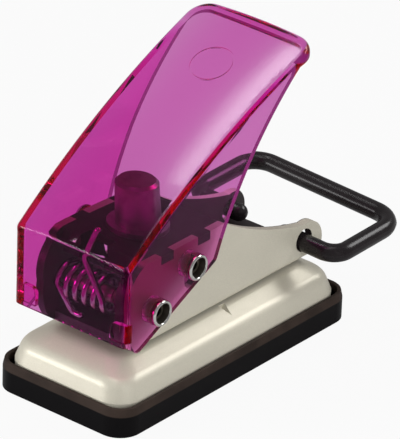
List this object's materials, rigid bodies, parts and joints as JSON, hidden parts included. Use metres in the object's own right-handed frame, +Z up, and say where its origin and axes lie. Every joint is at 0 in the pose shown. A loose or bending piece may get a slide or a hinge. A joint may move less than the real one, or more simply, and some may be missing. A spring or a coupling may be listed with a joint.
{
  "type": "desk hole punch",
  "caption": "Hand-worked desk punch for round holes: a clear hollow lever drives a steel punch through a frame on a base plate in a chip tray, with a folding wire bail at the back.",
  "frame": {"origin": "centre of the chip tray's flat underside, on the desk", "axes": "+Z up, +X to the user's right, +Y to the back, from the punch towards the wire bail"},
  "size_m": [0.059, 0.1184, 0.0919],
  "materials": {
    "tray_plastic": "smooth black moulded plastic with a soft sheen",
    "silver_paint": "fine warm silver-grey powder coat on pressed steel",
    "tool_steel": "turned and ground steel",
    "bright_plating": "bright nickel plating",
    "spring_wire": "drawn bright spring wire",
    "clear_plastic": "clear magenta polished plastic",
    "black_coating": "glossy black dipped coating on steel wire"
  },
  "bodies": {
    "base": {"chip_tray": "tray_plastic", "base_plate": "silver_paint", "die_bush": "tool_steel", "die_screws": "tool_steel", "stop_plate": "tool_steel", "frame_rivets": "tool_steel", "frame_channel": "silver_paint", "guide_bridge": "silver_paint", "guide_collar": "tool_steel", "punch_barrel": "tool_steel"},
    "punch": {"punch_head": "tool_steel", "punch_pin": "tool_steel"},
    "lever": {"lever_cover": "clear_plastic", "lever_axle": "bright_plating", "drive_pin": "bright_plating", "axle_eyelets": "bright_plating", "drive_pin_eyelets": "bright_plating", "axle_spacer": "clear_plastic", "torsion_spring": "spring_wire"},
    "bail": {"bail_wire": "black_coating"}
  },
  "joints": [
    {"name": "lever_hinge", "type": "hinge", "parent": "base", "child": "lever", "pos_m": [0, -0.0312, 0.0317], "axis": [-1, 0, 0], "range_deg": [0, 21], "stiffness_Nm_per_rad": 1.2, "springref_deg": -20.05},
    {"name": "punch_slide", "type": "slide", "parent": "base", "child": "punch", "axis": [0, 0, -1], "range_m": [0, 0.00587]},
    {"name": "bail_hinge", "type": "hinge", "parent": "base", "child": "bail", "pos_m": [0, 0.0373, 0.0257], "axis": [1, 0, 0], "range_deg": [-50, 140]}
  ],
  "couplings": [
    {"joint": "punch_slide", "follows": "lever_hinge", "m_per_rad": 0.016}
  ]
}
